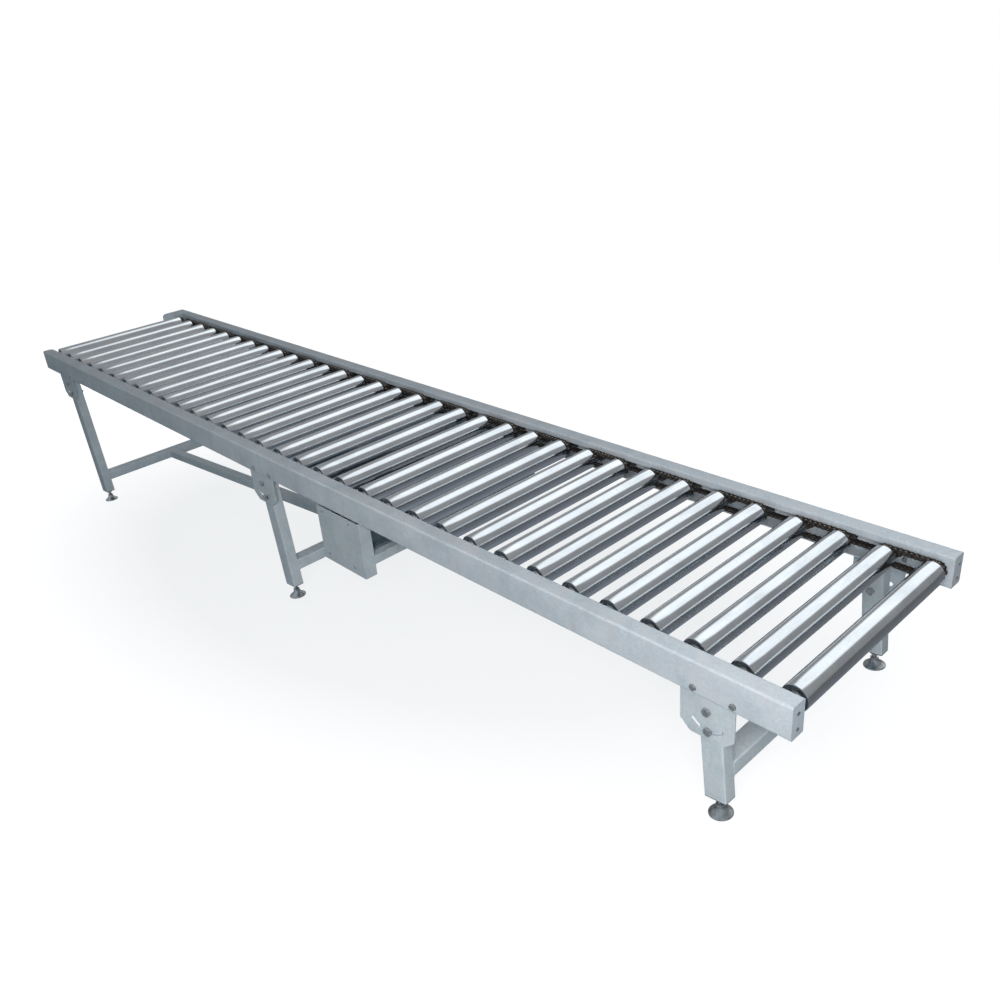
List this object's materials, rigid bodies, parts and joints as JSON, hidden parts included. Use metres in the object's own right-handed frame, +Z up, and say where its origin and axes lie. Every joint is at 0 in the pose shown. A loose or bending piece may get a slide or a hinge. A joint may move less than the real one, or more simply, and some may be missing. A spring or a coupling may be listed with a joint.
{
  "type": "powered roller conveyor",
  "caption": "Sloping chain-driven roller conveyor: steel rollers between two lipped channel rails, on upright box-section leg frames with levelling feet.",
  "frame": {"origin": "on the floor under the middle of the conveyor", "axes": "+X along the conveyor towards its lower end, +Y across towards the roll-to-roll chain side, +Z up"},
  "size_m": [3.7204, 0.729, 0.7112],
  "materials": {
    "frame_finish": "satin grey sheet steel",
    "roller_steel": "bright plated steel tube",
    "chain_steel": "dark oiled steel",
    "fastener_steel": "zinc plated",
    "foot_steel": "turned steel",
    "motor_paint": "machine enamel"
  },
  "bodies": {
    "bed": {"side_rail_near": "frame_finish", "side_rail_far": "frame_finish", "rail_end_caps": "frame_finish", "chain_end_guard": "frame_finish", "roller_axles": "fastener_steel", "roller_chains": "chain_steel", "drive_chain": "chain_steel", "leg_brackets": "frame_finish", "bracket_bolts": "fastener_steel", "leg_bolts": "fastener_steel", "panel_screws": "fastener_steel", "mid_leg_frame": "frame_finish", "left_leg_frame": "frame_finish", "longitudinal_tie": "frame_finish", "chain_guard_box": "frame_finish", "chain_guard_cover": "frame_finish", "motor_tray": "frame_finish", "gearmotor": "motor_paint"},
    "drive_shaft": {"drive_sprocket": "chain_steel"},
    "right_leg": {"right_leg_frame": "frame_finish", "right_lock_bolts": "fastener_steel"},
    "roller_01_turning": {"roller_01": "roller_steel"},
    "roller_02_turning": {"roller_02": "roller_steel"},
    "roller_03_turning": {"roller_03": "roller_steel"},
    "roller_04_turning": {"roller_04": "roller_steel"},
    "roller_05_turning": {"roller_05": "roller_steel"},
    "roller_06_turning": {"roller_06": "roller_steel"},
    "roller_07_turning": {"roller_07": "roller_steel"},
    "roller_08_turning": {"roller_08": "roller_steel"},
    "roller_09_turning": {"roller_09": "roller_steel"},
    "roller_10_turning": {"roller_10": "roller_steel"},
    "roller_11_turning": {"roller_11": "roller_steel"},
    "roller_12_turning": {"roller_12": "roller_steel"},
    "roller_13_turning": {"roller_13": "roller_steel"},
    "roller_14_turning": {"roller_14": "roller_steel"},
    "roller_15_turning": {"roller_15": "roller_steel"},
    "roller_16_turning": {"roller_16": "roller_steel"},
    "roller_17_turning": {"roller_17": "roller_steel"},
    "roller_18_turning": {"roller_18": "roller_steel"},
    "roller_19_turning": {"roller_19": "roller_steel"},
    "roller_20_turning": {"roller_20": "roller_steel"},
    "roller_21_turning": {"roller_21": "roller_steel"},
    "roller_22_turning": {"roller_22": "roller_steel"},
    "roller_23_turning": {"roller_23": "roller_steel"},
    "roller_24_turning": {"roller_24": "roller_steel"},
    "roller_25_turning": {"roller_25": "roller_steel"},
    "roller_26_turning": {"roller_26": "roller_steel"},
    "roller_27_turning": {"roller_27": "roller_steel"},
    "roller_28_turning": {"roller_28": "roller_steel"},
    "roller_29_turning": {"roller_29": "roller_steel"},
    "roller_30_turning": {"roller_30": "roller_steel"},
    "roller_31_turning": {"roller_31": "roller_steel"},
    "roller_32_turning": {"roller_32": "roller_steel"},
    "roller_33_turning": {"roller_33": "roller_steel"},
    "foot_right_near_screwed": {"foot_right_near": "foot_steel"},
    "foot_right_far_screwed": {"foot_right_far": "foot_steel"},
    "foot_mid_near_screwed": {"foot_mid_near": "foot_steel"},
    "foot_mid_far_screwed": {"foot_mid_far": "foot_steel"},
    "foot_left_near_screwed": {"foot_left_near": "foot_steel"},
    "foot_left_far_screwed": {"foot_left_far": "foot_steel"}
  },
  "joints": [
    {"name": "drive_spin", "type": "hinge", "parent": "bed", "child": "drive_shaft", "pos_m": [0.38686, -0.336, 0.34332], "axis": [0, 1, 0], "continuous": true},
    {"name": "roller_01_spin", "type": "hinge", "parent": "bed", "child": "roller_01_turning", "pos_m": [1.82563, 0, 0.33991], "axis": [0, 1, 0], "continuous": true},
    {"name": "roller_02_spin", "type": "hinge", "parent": "bed", "child": "roller_02_turning", "pos_m": [1.71176, 0, 0.34987], "axis": [0, 1, 0], "continuous": true},
    {"name": "roller_03_spin", "type": "hinge", "parent": "bed", "child": "roller_03_turning", "pos_m": [1.5979, 0, 0.35984], "axis": [0, 1, 0], "continuous": true},
    {"name": "roller_04_spin", "type": "hinge", "parent": "bed", "child": "roller_04_turning", "pos_m": [1.48403, 0, 0.3698], "axis": [0, 1, 0], "continuous": true},
    {"name": "roller_05_spin", "type": "hinge", "parent": "bed", "child": "roller_05_turning", "pos_m": [1.37017, 0, 0.37976], "axis": [0, 1, 0], "continuous": true},
    {"name": "roller_06_spin", "type": "hinge", "parent": "bed", "child": "roller_06_turning", "pos_m": [1.2563, 0, 0.38972], "axis": [0, 1, 0], "continuous": true},
    {"name": "roller_07_spin", "type": "hinge", "parent": "bed", "child": "roller_07_turning", "pos_m": [1.14244, 0, 0.39968], "axis": [0, 1, 0], "continuous": true},
    {"name": "roller_08_spin", "type": "hinge", "parent": "bed", "child": "roller_08_turning", "pos_m": [1.02857, 0, 0.40965], "axis": [0, 1, 0], "continuous": true},
    {"name": "roller_09_spin", "type": "hinge", "parent": "bed", "child": "roller_09_turning", "pos_m": [0.91471, 0, 0.41961], "axis": [0, 1, 0], "continuous": true},
    {"name": "roller_10_spin", "type": "hinge", "parent": "bed", "child": "roller_10_turning", "pos_m": [0.80084, 0, 0.42957], "axis": [0, 1, 0], "continuous": true},
    {"name": "roller_11_spin", "type": "hinge", "parent": "bed", "child": "roller_11_turning", "pos_m": [0.68698, 0, 0.43953], "axis": [0, 1, 0], "continuous": true},
    {"name": "roller_12_spin", "type": "hinge", "parent": "bed", "child": "roller_12_turning", "pos_m": [0.57311, 0, 0.44949], "axis": [0, 1, 0], "continuous": true},
    {"name": "roller_13_spin", "type": "hinge", "parent": "bed", "child": "roller_13_turning", "pos_m": [0.45925, 0, 0.45946], "axis": [0, 1, 0], "continuous": true},
    {"name": "roller_14_spin", "type": "hinge", "parent": "bed", "child": "roller_14_turning", "pos_m": [0.34538, 0, 0.46942], "axis": [0, 1, 0], "continuous": true},
    {"name": "roller_15_spin", "type": "hinge", "parent": "bed", "child": "roller_15_turning", "pos_m": [0.23152, 0, 0.47938], "axis": [0, 1, 0], "continuous": true},
    {"name": "roller_16_spin", "type": "hinge", "parent": "bed", "child": "roller_16_turning", "pos_m": [0.11765, 0, 0.48934], "axis": [0, 1, 0], "continuous": true},
    {"name": "roller_17_spin", "type": "hinge", "parent": "bed", "child": "roller_17_turning", "pos_m": [0.00379, 0, 0.4993], "axis": [0, 1, 0], "continuous": true},
    {"name": "roller_18_spin", "type": "hinge", "parent": "bed", "child": "roller_18_turning", "pos_m": [-0.11008, 0, 0.50926], "axis": [0, 1, 0], "continuous": true},
    {"name": "roller_19_spin", "type": "hinge", "parent": "bed", "child": "roller_19_turning", "pos_m": [-0.22395, 0, 0.51923], "axis": [0, 1, 0], "continuous": true},
    {"name": "roller_20_spin", "type": "hinge", "parent": "bed", "child": "roller_20_turning", "pos_m": [-0.33781, 0, 0.52919], "axis": [0, 1, 0], "continuous": true},
    {"name": "roller_21_spin", "type": "hinge", "parent": "bed", "child": "roller_21_turning", "pos_m": [-0.45167, 0, 0.53915], "axis": [0, 1, 0], "continuous": true},
    {"name": "roller_22_spin", "type": "hinge", "parent": "bed", "child": "roller_22_turning", "pos_m": [-0.56554, 0, 0.54911], "axis": [0, 1, 0], "continuous": true},
    {"name": "roller_23_spin", "type": "hinge", "parent": "bed", "child": "roller_23_turning", "pos_m": [-0.67941, 0, 0.55907], "axis": [0, 1, 0], "continuous": true},
    {"name": "roller_24_spin", "type": "hinge", "parent": "bed", "child": "roller_24_turning", "pos_m": [-0.79327, 0, 0.56904], "axis": [0, 1, 0], "continuous": true},
    {"name": "roller_25_spin", "type": "hinge", "parent": "bed", "child": "roller_25_turning", "pos_m": [-0.90714, 0, 0.579], "axis": [0, 1, 0], "continuous": true},
    {"name": "roller_26_spin", "type": "hinge", "parent": "bed", "child": "roller_26_turning", "pos_m": [-1.021, 0, 0.58896], "axis": [0, 1, 0], "continuous": true},
    {"name": "roller_27_spin", "type": "hinge", "parent": "bed", "child": "roller_27_turning", "pos_m": [-1.13487, 0, 0.59892], "axis": [0, 1, 0], "continuous": true},
    {"name": "roller_28_spin", "type": "hinge", "parent": "bed", "child": "roller_28_turning", "pos_m": [-1.24873, 0, 0.60888], "axis": [0, 1, 0], "continuous": true},
    {"name": "roller_29_spin", "type": "hinge", "parent": "bed", "child": "roller_29_turning", "pos_m": [-1.3626, 0, 0.61884], "axis": [0, 1, 0], "continuous": true},
    {"name": "roller_30_spin", "type": "hinge", "parent": "bed", "child": "roller_30_turning", "pos_m": [-1.47646, 0, 0.62881], "axis": [0, 1, 0], "continuous": true},
    {"name": "roller_31_spin", "type": "hinge", "parent": "bed", "child": "roller_31_turning", "pos_m": [-1.59032, 0, 0.63877], "axis": [0, 1, 0], "continuous": true},
    {"name": "roller_32_spin", "type": "hinge", "parent": "bed", "child": "roller_32_turning", "pos_m": [-1.70419, 0, 0.64873], "axis": [0, 1, 0], "continuous": true},
    {"name": "roller_33_spin", "type": "hinge", "parent": "bed", "child": "roller_33_turning", "pos_m": [-1.81805, 0, 0.65869], "axis": [0, 1, 0], "continuous": true},
    {"name": "right_leg_swing", "type": "hinge", "parent": "bed", "child": "right_leg", "pos_m": [1.6637, 0, 0.27227], "axis": [0, 1, 0], "range_deg": [-39, 49]},
    {"name": "foot_right_near_height", "type": "slide", "parent": "right_leg", "child": "foot_right_near_screwed", "axis": [0, 0, -1], "range_m": [0, 0.04]},
    {"name": "foot_right_far_height", "type": "slide", "parent": "right_leg", "child": "foot_right_far_screwed", "axis": [0, 0, -1], "range_m": [0, 0.04]},
    {"name": "foot_mid_near_height", "type": "slide", "parent": "bed", "child": "foot_mid_near_screwed", "axis": [0, 0, -1], "range_m": [0, 0.04]},
    {"name": "foot_mid_far_height", "type": "slide", "parent": "bed", "child": "foot_mid_far_screwed", "axis": [0, 0, -1], "range_m": [0, 0.04]},
    {"name": "foot_left_near_height", "type": "slide", "parent": "bed", "child": "foot_left_near_screwed", "axis": [0, 0, -1], "range_m": [0, 0.04]},
    {"name": "foot_left_far_height", "type": "slide", "parent": "bed", "child": "foot_left_far_screwed", "axis": [0, 0, -1], "range_m": [0, 0.04]}
  ],
  "couplings": [
    {"joint": "roller_01_spin", "follows": "drive_spin", "ratio": 1.6},
    {"joint": "roller_02_spin", "follows": "drive_spin", "ratio": 1.6},
    {"joint": "roller_03_spin", "follows": "drive_spin", "ratio": 1.6},
    {"joint": "roller_04_spin", "follows": "drive_spin", "ratio": 1.6},
    {"joint": "roller_05_spin", "follows": "drive_spin", "ratio": 1.6},
    {"joint": "roller_06_spin", "follows": "drive_spin", "ratio": 1.6},
    {"joint": "roller_07_spin", "follows": "drive_spin", "ratio": 1.6},
    {"joint": "roller_08_spin", "follows": "drive_spin", "ratio": 1.6},
    {"joint": "roller_09_spin", "follows": "drive_spin", "ratio": 1.6},
    {"joint": "roller_10_spin", "follows": "drive_spin", "ratio": 1.6},
    {"joint": "roller_11_spin", "follows": "drive_spin", "ratio": 1.6},
    {"joint": "roller_12_spin", "follows": "drive_spin", "ratio": 1.6},
    {"joint": "roller_13_spin", "follows": "drive_spin", "ratio": 1.6},
    {"joint": "roller_14_spin", "follows": "drive_spin", "ratio": 1.6},
    {"joint": "roller_15_spin", "follows": "drive_spin", "ratio": 1.6},
    {"joint": "roller_16_spin", "follows": "drive_spin", "ratio": 1.6},
    {"joint": "roller_17_spin", "follows": "drive_spin", "ratio": 1.6},
    {"joint": "roller_18_spin", "follows": "drive_spin", "ratio": 1.6},
    {"joint": "roller_19_spin", "follows": "drive_spin", "ratio": 1.6},
    {"joint": "roller_20_spin", "follows": "drive_spin", "ratio": 1.6},
    {"joint": "roller_21_spin", "follows": "drive_spin", "ratio": 1.6},
    {"joint": "roller_22_spin", "follows": "drive_spin", "ratio": 1.6},
    {"joint": "roller_23_spin", "follows": "drive_spin", "ratio": 1.6},
    {"joint": "roller_24_spin", "follows": "drive_spin", "ratio": 1.6},
    {"joint": "roller_25_spin", "follows": "drive_spin", "ratio": 1.6},
    {"joint": "roller_26_spin", "follows": "drive_spin", "ratio": 1.6},
    {"joint": "roller_27_spin", "follows": "drive_spin", "ratio": 1.6},
    {"joint": "roller_28_spin", "follows": "drive_spin", "ratio": 1.6},
    {"joint": "roller_29_spin", "follows": "drive_spin", "ratio": 1.6},
    {"joint": "roller_30_spin", "follows": "drive_spin", "ratio": 1.6},
    {"joint": "roller_31_spin", "follows": "drive_spin", "ratio": 1.6},
    {"joint": "roller_32_spin", "follows": "drive_spin", "ratio": 1.6},
    {"joint": "roller_33_spin", "follows": "drive_spin", "ratio": 1.6}
  ]
}
